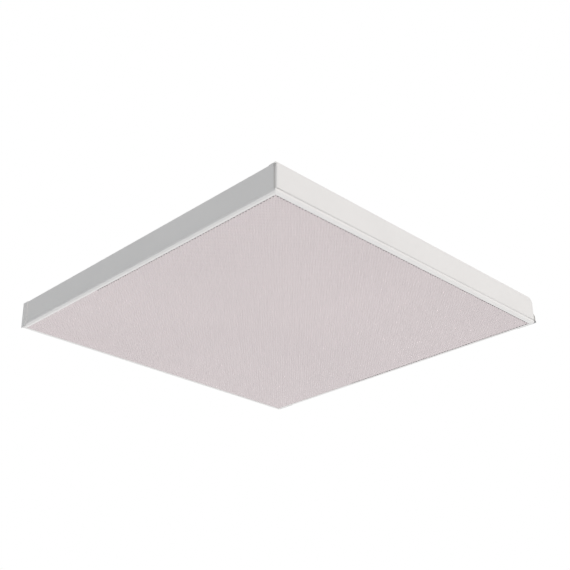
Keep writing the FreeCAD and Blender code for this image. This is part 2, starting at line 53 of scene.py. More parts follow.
# ================================================================ material helper
class Mat:
    """A Principled material whose colour, roughness and bump come from nodes."""

    def __init__(self, name, **sockets):
        self.mat = bpy.data.materials.new(name)
        self.mat.use_nodes = True
        self.nt = self.mat.node_tree
        self.nt.nodes.clear()
        self.out = self.nt.nodes.new("ShaderNodeOutputMaterial")
        self.bsdf = self.nt.nodes.new("ShaderNodeBsdfPrincipled")
        self.nt.links.new(self.bsdf.outputs[0], self.out.inputs[0])
        self.tc = self.nt.nodes.new("ShaderNodeTexCoord")
        self.pos = self.tc.outputs["Object"]
        self.last_bump = None
        for k, v in sockets.items():
            self.bsdf.inputs[k.replace("_", " ")].default_value = v

    def put(self, socket, v):
        if isinstance(v, bpy.types.NodeSocket):
            self.nt.links.new(v, socket)
        else:
            socket.default_value = v

    def node(self, kind, props=None, ins=None):
        n = self.nt.nodes.new(kind)
        for k, v in (props or {}).items():
            setattr(n, k, v)
        for k, v in (ins or {}).items():
            self.put(n.inputs[k], v)
        return n

    def math(self, op, a, b=None, c=None, clamp=False):
        n = self.node("ShaderNodeMath", {"operation": op, "use_clamp": clamp})
        for i, v in enumerate((a, b, c)):
            if v is not None:
                self.put(n.inputs[i], v)
        return n.outputs[0]

    def scaled(self, sx, sy, sz, loc=(0, 0, 0)):
        n = self.node("ShaderNodeMapping", None, {"Vector": self.pos, "Scale": (sx, sy, sz), "Location": loc})
        return n.outputs[0]

    def noise(self, scale, detail=2.0, rough=0.5, vec=None, dist=0.0):
        n = self.node("ShaderNodeTexNoise", None, {
            "Vector": vec or self.pos, "Scale": scale, "Detail": detail, "Roughness": rough, "Distortion": dist})
        return n.outputs["Fac"]

    def cells(self, scale, feature="F1", vec=None, out="Distance"):
        n = self.node("ShaderNodeTexVoronoi", {"feature": feature}, {"Vector": vec or self.pos, "Scale": scale})
        return n.outputs[out]

    def span(self, v, a, b, c=0.0, d=1.0):
        n = self.node("ShaderNodeMapRange", {"clamp": True}, {"Value": v, "From Min": a, "From Max": b, "To Min": c, "To Max": d})
        return n.outputs[0]

    def mix(self, fac, a, b, mode="MIX"):
        n = self.node("ShaderNodeMix", {"data_type": "RGBA", "blend_type": mode})
        self.put(n.inputs[0], fac)
        for sock, v in ((n.inputs[6], a), (n.inputs[7], b)):
            self.put(sock, v if isinstance(v, bpy.types.NodeSocket) else (*v, 1.0) if len(v) == 3 else v)
        return n.outputs[2]

    def axis(self, i):
        n = self.node("ShaderNodeSeparateXYZ", None, {0: self.pos})
        return n.outputs[i]

    def facing(self, i):
        g = self.node("ShaderNodeNewGeometry")
        n = self.node("ShaderNodeSeparateXYZ", None, {0: g.outputs["Normal"]})
        return n.outputs[i]

    def edges(self, radius, low=0.02, high=0.35):
        """1 along outer and inner edges, from how far a rounded normal leaves the true one."""
        b = self.node("ShaderNodeBevel", {"samples": 4}, {"Radius": radius})
        g = self.node("ShaderNodeNewGeometry")
        d = self.node("ShaderNodeVectorMath", {"operation": "DOT_PRODUCT"}, {0: b.outputs[0], 1: g.outputs["Normal"]})
        return self.span(d.outputs["Value"], 1.0 - low, 1.0 - high)

    def bump(self, height, strength, distance):
        ins = {"Height": height, "Strength": strength, "Distance": distance}
        if self.last_bump is not None:
            ins["Normal"] = self.last_bump
        self.last_bump = self.node("ShaderNodeBump", None, ins).outputs[0]

    def finish(self, colour=None, rough=None):
        if colour is not None:
            self.put(self.bsdf.inputs["Base Color"], colour)
        if rough is not None:
            self.put(self.bsdf.inputs["Roughness"], rough)
        if self.last_bump is not None:
            self.nt.links.new(self.last_bump, self.bsdf.inputs["Normal"])
        return self.mat


def tint(c, k):
    return tuple(min(1.0, x * k) for x in c)


# ================================================================ materials
def powder(name, c, r0=0.36, r1=0.5, peel=430.0, peel_h=0.00006, dust=0.0, wear=0.5):
    """Satin powder coat: fine orange peel, faint clouding, thinner film along edges, dust where it faces up."""
    m = Mat(name, Specular_IOR_Level=0.45)
    cloud = m.noise(7.0, 4.0, 0.6)
    speck = m.noise(900.0, 1.0, 0.5)
    col = m.mix(m.span(cloud, 0.3, 0.7), tint(c, 0.972), tint(c, 1.012))
    col = m.mix(m.span(speck, 0.35, 0.65, 0.0, 0.22), col, tint(c, 0.955))
    if dust:
        up = m.span(m.facing(2), 0.35, 0.95)
        patch = m.span(m.noise(23.0, 5.0, 0.65), 0.3, 0.75)
        grains = m.span(m.noise(520.0, 2.0, 0.7), 0.48, 0.7, 0.5, 1.0)
        amount = m.math("MULTIPLY", m.math("MULTIPLY", up, patch), m.math("MULTIPLY", grains, dust))
        col = m.mix(amount, col, (0.50, 0.475, 0.44))
    edge = m.math("MULTIPLY", m.edges(0.0007), m.span(m.noise(160.0, 3.0, 0.6), 0.38, 0.66, 0.25, 1.0))
    col = m.mix(m.math("MULTIPLY", edge, 0.16 * wear), col, (0.60, 0.61, 0.62))
    smear = m.noise(1.0, 3.0, 0.6, vec=m.scaled(14.0, 60.0, 30.0))
    rough = m.span(smear, 0.3, 0.72, r0, r1)
    m.bump(m.noise(peel, 1.5, 0.45), 0.55, peel_h)
    m.bump(m.noise(26.0, 2.0, 0.5), 0.25, 0.00012)
    return m.finish(col, rough)


def sheet_zinc(name, c=(0.62, 0.63, 0.645), r0=0.26, r1=0.46, grain=True):
    """Zinc plated steel: crystals, rolling grain and a faint yellow to blue passivation."""
    m = Mat(name, Metallic=1.0)
    crystal = m.cells(240.0, out="Color")
    sep = m.node("ShaderNodeSeparateColor", None, {0: crystal}).outputs[0]
    cloud = m.noise(38.0, 4.0, 0.6)
    col = m.mix(m.span(cloud, 0.3, 0.7), tint(c, 0.86), tint(c, 1.08))
    col = m.mix(m.span(sep, 0.0, 1.0, 0.0, 0.35), col, tint(c, 1.16))
    hue = m.span(m.noise(55.0, 3.0, 0.5), 0.35, 0.65)
    col = m.mix(0.16, col, m.mix(hue, (0.74, 0.68, 0.50), (0.50, 0.60, 0.76)))
    edge = m.edges(0.0005)
    col = m.mix(m.math("MULTIPLY", edge, 0.35), col, (0.80, 0.80, 0.80))
    rough = m.span(m.noise(120.0, 4.0, 0.65), 0.3, 0.7, r0, r1)
    if grain:
        m.bump(m.noise(1.0, 2.0, 0.6, vec=m.scaled(1600.0, 60.0, 60.0)), 0.22, 0.00002)
    m.bump(m.noise(700.0, 2.0, 0.6), 0.25, 0.00003)
    return m.finish(col, rough)


def turned_metal(name, c, r0=0.22, r1=0.42):
    m = Mat(name, Metallic=1.0)
    cloud = m.noise(300.0, 4.0, 0.6)
    col = m.mix(m.span(cloud, 0.3, 0.7), tint(c, 0.82), tint(c, 1.1))
    rough = m.span(m.noise(500.0, 3.0, 0.6), 0.3, 0.7, r0, r1)
    m.bump(m.noise(1500.0, 2.0, 0.6), 0.3, 0.00002)
    return m.finish(col, rough)


def moulded(name, c, r0=0.38, r1=0.55, grain=1400.0, grain_h=0.00003, tone=0.05, spec=0.45):
    """Moulded plastic: fine spark-eroded texture, flow clouding, lighter worn edges."""
    m = Mat(name, Specular_IOR_Level=spec)
    flow = m.noise(1.0, 3.0, 0.55, vec=m.scaled(60.0, 25.0, 90.0), dist=0.6)
    col = m.mix(m.span(flow, 0.3, 0.7), tint(c, 1.0 - tone), tint(c, 1.0 + tone * 0.6))
    edge = m.edges(0.0005)
    col = m.mix(m.math("MULTIPLY", edge, 0.22), col, tint(c, 1.12) if sum(c) > 0.6 else (0.2, 0.2, 0.21))
    rough = m.span(m.noise(210.0, 3.0, 0.6), 0.3, 0.7, r0, r1)
    m.bump(m.noise(grain, 2.0, 0.6), 0.45, grain_h)
    return m.finish(col, rough)


def wire_jacket(name, c, stripe=None):
    """PVC insulation; with a stripe colour, two halves along the wire's height."""
    m = Mat(name, Specular_IOR_Level=0.5)
    n = m.noise(160.0, 3.0, 0.5)
    col = m.mix(m.span(n, 0.3, 0.7), tint(c, 0.88), tint(c, 1.08))
    if stripe:
        side = m.math("ABSOLUTE", m.facing(0))
        col = m.mix(m.span(side, 0.72, 0.76), col, m.mix(m.span(n, 0.3, 0.7), tint(stripe, 0.9), tint(stripe, 1.05)))
    m.bump(m.noise(1.0, 2.0, 0.5, vec=m.scaled(900.0, 120.0, 900.0)), 0.35, 0.00003)
    return m.finish(col, m.span(m.noise(400.0), 0.3, 0.7, 0.34, 0.5))


def rubber(name):
    m = Mat(name, Specular_IOR_Level=0.3)
    n = m.noise(240.0, 4.0, 0.6)
    col = m.mix(m.span(n, 0.3, 0.7), (0.018, 0.018, 0.019), (0.036, 0.036, 0.037))
    bloom = m.span(m.noise(60.0, 4.0, 0.65), 0.5, 0.75, 0.0, 0.35)
    col = m.mix(bloom, col, (0.085, 0.083, 0.08))
    m.bump(m.noise(1300.0, 2.0, 0.6), 0.5, 0.00004)
    return m.finish(col, m.span(n, 0.3, 0.7, 0.55, 0.75))


def board(name):
    """White solder mask over copper: two rails along the board and a cross bar at each package show in relief."""
    m = Mat(name, Specular_IOR_Level=0.5)
    x = m.math("ABSOLUTE", m.axis(0))
    t = m.math("SUBTRACT", m.math("MODULO", m.math("ADD", m.math("SUBTRACT", x, 0.095), 0.060), 0.120), 0.060)
    a = m.math("ABSOLUTE", t)
    rail = m.math("MULTIPLY", m.span(a, 0.0046, 0.0048), m.span(a, 0.0072, 0.0070))
    y = m.math("FRACT", m.math("DIVIDE", m.math("ADD", m.axis(1), 0.530), 0.022))
    pad = m.math("MULTIPLY", m.span(m.math("ABSOLUTE", m.math("SUBTRACT", y, 0.5)), 0.17, 0.155), m.span(a, 0.0049, 0.0047))
    copper = m.math("MAXIMUM", rail, pad)
    n = m.noise(30.0, 3.0, 0.5)
    col = m.mix(m.span(n, 0.3, 0.7), (0.80, 0.80, 0.78), (0.85, 0.85, 0.835))
    col = m.mix(m.math("MULTIPLY", copper, 0.5), col, (0.74, 0.735, 0.70))
    side = m.span(m.math("ABSOLUTE", m.facing(2)), 0.5, 0.3)
    col = m.mix(side, col, (0.60, 0.61, 0.62))
    m.bump(copper, 0.8, 0.00005)
    m.bump(m.noise(800.0, 2.0, 0.6), 0.3, 0.00002)
    return m.finish(col, m.span(m.noise(90.0, 3.0), 0.3, 0.7, 0.28, 0.4))


def prism(name):
    """Opal prismatic acrylic, unlit: pinkish white, glossy, a little light goes through."""
    m = Mat(name, Specular_IOR_Level=0.5, IOR=1.49, Transmission_Weight=0.10, Coat_Weight=0.25, Coat_Roughness=0.08)
    n = m.noise(3.2, 3.0, 0.5)
    col = m.mix(m.span(n, 0.3, 0.7), (0.760, 0.687, 0.704), (0.800, 0.722, 0.738))
    col = m.mix(m.span(m.noise(60.0, 3.0, 0.6), 0.35, 0.65, 0.0, 0.25), col, (0.75, 0.69, 0.695))
    m.bump(m.noise(260.0, 2.0, 0.5), 0.15, 0.00003)
    return m.finish(col, m.span(m.noise(45.0, 3.0), 0.3, 0.7, 0.16, 0.26))


def silicone(name):
    m = Mat(name, Specular_IOR_Level=0.4, Transmission_Weight=0.35, IOR=1.41)
    n = m.noise(240.0, 3.0, 0.5)
    col = m.mix(m.span(n, 0.3, 0.7), (0.70, 0.71, 0.71), (0.80, 0.80, 0.79))
    m.bump(m.noise(900.0, 2.0, 0.6), 0.4, 0.00004)
    return m.finish(col, m.span(n, 0.3, 0.7, 0.35, 0.5))


def pcb_green(name):
    m = Mat(name, Specular_IOR_Level=0.5)
    n = m.noise(70.0, 3.0, 0.5)
    tracks = m.math("GREATER_THAN", m.node("ShaderNodeTexWave", {"wave_type": "BANDS", "bands_direction": "X"}, {
        "Vector": m.pos, "Scale": 95.0, "Distortion": 6.0, "Detail": 1.0, "Detail Scale": 0.6}).outputs["Fac"], 0.55)
    col = m.mix(m.span(n, 0.3, 0.7), (0.020, 0.110, 0.040), (0.028, 0.140, 0.052))
    col = m.mix(m.math("MULTIPLY", tracks, 0.5), col, (0.045, 0.19, 0.075))
    m.bump(tracks, 0.7, 0.00004)
    return m.finish(col, m.span(n, 0.3, 0.7, 0.24, 0.36))


def phosphor(name):
    m = Mat(name, Specular_IOR_Level=0.5, Coat_Weight=0.3, Coat_Roughness=0.15)
    n = m.noise(900.0, 3.0, 0.6)
    col = m.mix(m.span(n, 0.3, 0.7), (0.78, 0.60, 0.08), (0.86, 0.70, 0.14))
    m.bump(n, 0.4, 0.00003)
    return m.finish(col, m.span(n, 0.3, 0.7, 0.3, 0.45))


WHITE = (0.790, 0.790, 0.785)
RAILC = (0.832, 0.830, 0.826)
MATS = {
    "white_powder_coat": powder("powder_coat_white", WHITE, dust=0.35),
    "white_frame": powder("frame_coat_white", RAILC, r0=0.3, r1=0.44, peel=520.0, peel_h=0.00004, wear=0.3),
    "prismatic_acrylic": prism("prismatic_acrylic"),
    "zinc_plated_steel": sheet_zinc("zinc_plated_steel"),
    "white_reflector": powder("reflector_white", (0.84, 0.84, 0.832), r0=0.42, r1=0.58, peel=600.0, wear=0.3),
    "board_white": board("board_white"),
    "led_phosphor": phosphor("led_phosphor"),
    "connector_white": moulded("connector_white", (0.76, 0.75, 0.71)),
    "driver_plastic": moulded("driver_plastic", (0.74, 0.74, 0.725), grain=1100.0),
    "circuit_board_green": pcb_green("circuit_board_green"),
    "component_dark": moulded("component_dark", (0.035, 0.035, 0.04), tone=0.2),
    "terminal_grey": moulded("terminal_grey", (0.42, 0.43, 0.44)),
    "brass_plain": turned_metal("brass_plain", (0.72, 0.53, 0.24)),
    "wire_brown": wire_jacket("wire_brown", (0.115, 0.040, 0.018)),
    "wire_blue": wire_jacket("wire_blue", (0.020, 0.085, 0.32)),
    "wire_green_yellow": wire_jacket("wire_green_yellow", (0.06, 0.26, 0.035), (0.74, 0.62, 0.03)),
    "wire_white": wire_jacket("wire_white", (0.74, 0.74, 0.72)),
    "grommet_rubber": rubber("grommet_rubber"),
    "silicone_clear": silicone("silicone_clear"),
    "magnet_nickel": turned_metal("magnet_nickel", (0.58, 0.57, 0.55), 0.16, 0.3),
}
HINGE = sheet_zinc("hinge_zinc_dark", (0.34, 0.345, 0.355), 0.34, 0.52)
SCREW = turned_metal("screw_zinc", (0.66, 0.665, 0.67), 0.24, 0.42)
PACKAGE = moulded("package_white", (0.80, 0.80, 0.78), grain=2600.0)
COPPER = turned_metal("winding_copper", (0.66, 0.30, 0.14), 0.25, 0.4)
SLEEVE = moulded("capacitor_sleeve", (0.012, 0.018, 0.05), tone=0.25)
FERRITE = moulded("ferrite_grey", (0.055, 0.055, 0.06), tone=0.2)
FILM = moulded("film_box_yellow", (0.50, 0.33, 0.035))

SLOT_OF = {s["node"]: s["material_slot"] for s in frame["record"]["subparts"]}
for name, ob in NODES.items():
    ob.data.materials.clear()
    ob.data.materials.append(HINGE if name.startswith(("hinge_leaf", "hinge_pin")) else MATS[SLOT_OF[name]])


# ================================================================ small rounds on the folded and moulded edges
def soften(name, width, segments=2, angle=38.0):
    ob = NODES[name]
    w = ob.modifiers.new("weld", "WELD")
    w.merge_threshold = 1e-6
    b = ob.modifiers.new("round", "BEVEL")
    b.width = width * MM
    b.segments = segments
    b.limit_method = "ANGLE"
    b.angle_limit = math.radians(angle)
    b.harden_normals = True
    b.use_clamp_overlap = True
    b.miter_outer = "MITER_ARC"


for n, w in {
    "housing_pan": 0.2, "end_plate_near": 0.22, "end_plate_far": 0.22, "gear_cover": 0.2,
    "door_rail_latch": 0.25, "door_rail_hinge": 0.25, "door_rail_near": 0.25, "door_rail_far": 0.25,
    "swing_bracket_1": 0.3, "swing_bracket_2": 0.3, "swing_bracket_3": 0.3, "swing_bracket_4": 0.3,
    "hinge_leaf_housing_near": 0.15, "hinge_leaf_housing_far": 0.15, "hinge_leaf_door_near": 0.15, "hinge_leaf_door_far": 0.15,
    "hinge_pin_near": 0.25, "hinge_pin_far": 0.25, "corner_brackets": 0.15, "strike_plates": 0.15, "diffuser_pads": 0.2,
    "magnet_holder_near": 0.4, "magnet_holder_far": 0.4, "catch_magnets": 0.3, "terminal_block": 0.3, "cable_clamp": 0.5,
    "driver_lid": 0.6, "driver_base": 0.25, "driver_circuit_board": 0.15, "board_connectors": 0.3,
    "led_board_1": 0.12, "led_board_2": 0.12, "led_board_3": 0.12, "led_board_4": 0.12, "earth_nut": 0.3, "earth_washer": 0.12,
    "earth_lug": 0.15, "earth_stud": 0.3, "bracket_washers": 0.1, "terminal_screws": 0.12,
}.items():
    soften(n, w)


# ================================================================ mesh helpers
def piece(name, verts, faces, mats, body, face_mats=None, smooth=None, replaces=()):
    me = bpy.data.meshes.new(name)
    me.from_pydata(verts, [], faces)
    for m in mats:
        me.materials.append(m)
    if face_mats is not None:
        me.polygons.foreach_set("material_index", np.array(face_mats, np.int32))
    if smooth is not None:
        me.polygons.foreach_set("use_smooth", np.array(smooth, bool))
    me.validate()
    me.update()
    ob = bpy.data.objects.new(name, me)
    scene.collection.objects.link(ob)
    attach(ob, body)
    if replaces:
        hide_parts(*replaces)
    return ob


class Build:
    """Collects closed shells with a material index and smooth flag for each face."""

    def __init__(self):
        self.v, self.f, self.m, self.s = [], [], [], []

    def add(self, verts, faces, mat=0, smooth=False, matrix=None):
        k = len(self.v)
        self.v += [tuple(matrix @ Vector(p)) if matrix is not None else tuple(p) for p in verts]
        flip = matrix is not None and matrix.determinant() < 0
        for i, f in enumerate(faces):
            g = tuple(k + j for j in f)
            self.f.append(g[::-1] if flip else g)
            self.m.append(mat[i] if isinstance(mat, (list, tuple)) else mat)
            self.s.append(smooth[i] if isinstance(smooth, (list, tuple)) else smooth)

    def piece(self, name, mats, body, slot, replaces=(), scale=MM):
        return piece(name, [(x * scale, y * scale, z * scale) for x, y, z in self.v], self.f, mats, body, self.m, self.s, replaces)


def lathe(profile, n=32):
    """Closed shell from a profile of (radius, z) that starts and ends on the axis or closes on itself."""
    verts, faces, rings = [], [], []
    closed = profile[0][0] > 1e-9
    for r, z in profile:
        if r < 1e-9:
            rings.append([len(verts)])
            verts.append((0.0, 0.0, z))
        else:
            rings.append(list(range(len(verts), len(verts) + n)))
            verts += [(r * math.cos(2 * math.pi * i / n), r * math.sin(2 * math.pi * i / n), z) for i in range(n)]
    pairs = list(zip(rings, rings[1:])) + ([(rings[-1], rings[0])] if closed else [])
    for a, b in pairs:
        for i in range(n):
            j = (i + 1) % n
            if len(a) == 1 and len(b) == 1:
                continue
            if len(a) == 1:
                faces.append((a[0], b[j], b[i]))
            elif len(b) == 1:
                faces.append((a[i], a[j], b[0]))
            else:
                faces.append((a[i], a[j], b[j], b[i]))
    return verts, faces


def place(x, y, z, axis=(0, 0, 1), turn=0.0):
    m = Matrix.Translation((x, y, z))
    if tuple(axis) != (0, 0, 1):
        m = m @ Vector(axis).to_track_quat("Z", "Y").to_matrix().to_4x4()
    return m @ Matrix.Rotation(turn, 4, "Z")


def boolean(base, cutter):
    """base minus cutter, both (verts, faces); gives (verts, faces)."""
    obs = []
    for vf in (base, cutter):
        me = bpy.data.meshes.new("tmp")
        me.from_pydata([tuple(p) for p in vf[0]], [], vf[1])
        me.update()
        ob = bpy.data.objects.new("tmp", me)
        scene.collection.objects.link(ob)
        obs.append(ob)
    md = obs[0].modifiers.new("cut", "BOOLEAN")
    md.operation, md.solver, md.object = "DIFFERENCE", "EXACT", obs[1]
    dg = bpy.context.evaluated_depsgraph_get()
    me = obs[0].evaluated_get(dg).to_mesh()
    out = [tuple(v.co) for v in me.vertices], [tuple(p.vertices) for p in me.polygons]
    obs[0].evaluated_get(dg).to_mesh_clear()
    for ob in obs:
        me = ob.data
        bpy.data.objects.remove(ob)
        bpy.data.meshes.remove(me)
    return out


def outline(points, z0, z1, shrink=1.0):
    """Prism over a counter-clockwise outline, its lower end scaled by shrink."""
    n = len(points)
    verts = [(x * shrink, y * shrink, z0) for x, y in points] + [(x, y, z1) for x, y in points]
    faces = [tuple(range(n))[::-1], tuple(range(n, 2 * n))] + [(i, (i + 1) % n, n + (i + 1) % n, n + i) for i in range(n)]
    return verts, faces


def cross(arm, width):
    a, w = arm, width / 2
    return [(a, -w), (a, w), (w * 1.6, w * 1.6), (w, a), (-w, a), (-w * 1.6, w * 1.6), (-a, w), (-a, -w),
            (-w * 1.6, -w * 1.6), (-w, -a), (w, -a), (w * 1.6, -w * 1.6)]


def screw_shell(head_r, head_h, shank_r, shank_l, pitch=0.8):
    """Pan head with a cross recess over a threaded shank; head's underside at z = 0, tip at z = -shank_l."""
    prof = [(0.0, head_h)]
    for k in range(1, 6):
        t = k / 5.0
        prof.append((head_r * 0.86 * math.sin(t * math.pi / 2), head_h * (0.62 + 0.38 * math.cos(t * math.pi / 2))))
    prof += [(head_r * 0.95, head_h * 0.52), (head_r, head_h * 0.36), (head_r, head_h * 0.08), (head_r * 0.97, 0.0), (shank_r * 0.9, 0.0)]
    z = -0.5
    while z > -shank_l + pitch * 1.3:
        prof += [(shank_r * 0.8, z), (shank_r, z - pitch * 0.42), (shank_r, z - pitch * 0.55), (shank_r * 0.8, z - pitch * 0.95)]
        z -= pitch
    prof += [(shank_r * 0.72, -shank_l + 0.35), (shank_r * 0.45, -shank_l), (0.0, -shank_l)]
    base = lathe(prof, 28)
    base = (base[0], [f[::-1] for f in base[1]])
    arm = head_r * 0.56
    cut = outline(cross(arm, head_r * 0.24), head_h - head_r * 0.5, head_h + 1.0, 0.55)
    return boolean(base, cut)


def normals_out(v, f):
    """Faces turned so that the closed shell's volume is positive."""
    bm = bmesh.new()
    for p in v:
        bm.verts.new(p)
    bm.verts.ensure_lookup_table()
    for q in f:
        try:
            bm.faces.new([bm.verts[i] for i in q])
        except ValueError:
            pass
    bmesh.ops.recalc_face_normals(bm, faces=bm.faces)
    bm.verts.index_update()
    out = [tuple(x.co) for x in bm.verts], [tuple(x.index for x in q.verts) for q in bm.faces]
    bm.free()
    return out


# ================================================================ fasteners
H, PAN_IN = 44.5, 43.7
TURNS = random.Random(5)


def screws(name, shell, spots, axis, body="housing"):
    b = Build()
    for x, y, z in spots:
        b.add(shell[0], shell[1], 0, True, place(x, y, z, axis, TURNS.uniform(0, math.pi)))
    ob = b.piece(name, [SCREW], body, "zinc_plated_steel", (name,))
    ob.name = name + "_cross_head"
    md = ob.modifiers.new("edge", "EDGE_SPLIT")
    md.split_angle = math.radians(32)
    return ob


cap = normals_out(*screw_shell(3.2, 1.7, 1.5, 4.8))
screws("end_plate_screws", cap, [(x, y, H + 0.8) for x in (-200.0, 0.0, 200.0) for y in (-291.0, 291.0)], (0, 0, 1))
small = normals_out(*screw_shell(2.8, 1.8, 1.5, 3.9))
screws("board_screws", small, [(x, y, 42.1) for x in (-215.0, -95.0, 95.0, 215.0) for y in (-200.0, 0.0, 200.0)], (0, 0, -1))
screws("driver_screws", small, [(0, -238, 42.2), (0, -2, 42.2)], (0, 0, -1))
cover = normals_out(*screw_shell(3.8, 2.4, 2.0, 3.7, 1.0))
screws("gear_channel_screws", cover, [(x, y, PAN_IN - 0.8) for x in (-41.0, 41.0) for y in (-200.0, 200.0)], (0, 0, -1))
wafer = normals_out(*screw_shell(3.2, 0.64, 1.45, 4.5))
screws("gear_cover_screws", wafer, [(x, y, 16.7) for x in (-31.0, 31.0) for y in (-235.0, 0.0, 235.0)], (0, 0, -1))
long_ = normals_out(*screw_shell(2.8, 1.8, 1.5, 14.9))
screws("cable_clamp_screws", long_, [(-11.5, 172, 31.0), (11.5, 172, 31.0)], (0, 0, -1))
mag = normals_out(*screw_shell(2.6, 1.8, 1.2, 2.1, 0.7))
screws("magnet_screws", mag, [(-290.0, y + d, 8.4) for y in (-200.0, 200.0) for d in (-12.0, 12.0)], (0, 0, 1))


# ================================================================ rivets, grommet, light sources, driver parts
def shell(profile, n=32):
    return normals_out(*lathe(profile, n))


def crease(ob, angle=32):
    md = ob.modifiers.new("edge", "EDGE_SPLIT")
    md.split_angle = math.radians(angle)
    return ob


def rivets():
    dome = shell([(0, 0.8), (0.9, 0.77), (1.7, 0.62), (2.3, 0.36), (2.58, 0.1), (2.6, 0.0), (1.5, 0.0), (1.5, -1.8), (2.45, -1.8),
                  (2.6, -1.95), (2.45, -2.3), (1.7, -2.55), (0.9, -2.6), (0.75, -2.35), (0, -2.3)], 28)
    b = Build()
    for s in (-1, 1):
        for d in (288.0, 270.0):
            b.add(*dome, 0, True, place(297.7, s * d, 14.0, (1, 0, 0)))
    crease(b.piece("hinge_rivets_domed", [SCREW], "housing", "zinc_plated_steel", ("hinge_rivets",)))
    pivot = shell([(0, 48.7), (1.8, 48.64), (3.4, 48.4), (4.6, 47.98), (5.3, 47.5), (5.5, 47.25), (5.45, 47.1), (3.0, 47.1), (3.0, 44.5),
                   (2.0, 44.5), (2.0, 43.7), (3.45, 43.7), (3.6, 43.5), (3.35, 43.1), (2.5, 42.8), (1.3, 42.7), (1.1, 42.95), (0, 43.0)], 40)
    b = Build()
    for sx in (-1, 1):
        for sy in (-1, 1):
            b.add(*pivot, 0, True, place(sx * 270.0, sy * 230.0, 0))
    crease(b.piece("bracket_pivots_riveted", [SCREW], "housing", "zinc_plated_steel", ("bracket_pivots",)))


def grommet():
    ring = [(5.0, 46.5), (5.25, 46.9), (5.6, 47.0), (8.2, 47.0), (8.5, 46.8), (8.9, 46.8), (9.2, 46.95), (10.4, 46.75), (11.4, 46.2),
            (11.9, 45.4), (12.0, 44.8), (11.8, 44.5), (8.95, 44.5), (8.95, 43.7), (11.2, 43.7), (11.5, 43.4), (11.4, 42.7), (10.6, 42.1),
            (8.0, 41.7), (5.7, 41.5), (5.25, 41.6), (5.0, 42.0)]
    b = Build()
    b.add(*shell(ring, 64), 0, True, place(0, 205.0, 0))
    crease(b.piece("cable_grommet_lipped", [MATS["grommet_rubber"]], "housing", "grommet_rubber", ("cable_grommet",)), 40)


def light_sources():
    """White cup, yellow lens slightly sunk in its rim, two solder feet."""
    cup = normals_out(*outline([(-1.4, -1.5), (-1.15, -1.75), (1.4, -1.75), (1.4, 1.75), (-1.4, 1.75)], 41.42, 42.1, 0.96))
    ringv = shell([(1.12, 41.46), (1.12, 41.40), (1.24, 41.40), (1.3, 41.45)], 20)
    lens = shell([(0, 41.42), (0.7, 41.425), (1.13, 41.45), (1.13, 41.6), (0, 41.6)], 20)
    foot = normals_out(*outline([(-0.9, -0.25), (0.9, -0.25), (0.9, 0.25), (-0.9, 0.25)], 41.98, 42.1, 1.0))
    b = Build()
    for x in (-215.0, -95.0, 95.0, 215.0):
        for i in range(22):
            y = (i - 10.5) * 22.0
            m = place(x, y, 0)
            b.add(*cup, 0, False, m)
            b.add(*ringv, 0, True, m)
            b.add(*lens, 1, True, m)
            for e in (-1.5, 1.5):
                b.add(*foot, 2, False, place(x, y + e * 0.98, 0))
    b.piece("led_packages_cups", [PACKAGE, MATS["led_phosphor"], SCREW], "housing", "led_phosphor", ("led_packages",))


def slab(x0, y0, z0, x1, y1, z1, c=0.3):
    """Box with its upright and lower edges chamfered."""
    cx, cy = (x0 + x1) / 2, (y0 + y1) / 2
    a, b = (x1 - x0) / 2, (y1 - y0) / 2

    def ring(p, q):
        return [(cx - p, cy - q + c), (cx - p + c, cy - q), (cx + p - c, cy - q), (cx + p, cy - q + c),
                (cx + p, cy + q - c), (cx + p - c, cy + q), (cx - p + c, cy + q), (cx - p, cy + q - c)]

    low, mid = ring(a - c, b - c), ring(a, b)
    v = [(x, y, z0) for x, y in low] + [(x, y, z0 + c) for x, y in mid] + [(x, y, z1) for x, y in mid]
    f = [tuple(range(8))[::-1], tuple(range(16, 24))]
    for k in (0, 8):
        f += [(k + i, k + (i + 1) % 8, k + 8 + (i + 1) % 8, k + 8 + i) for i in range(8)]
    return normals_out(v, f)


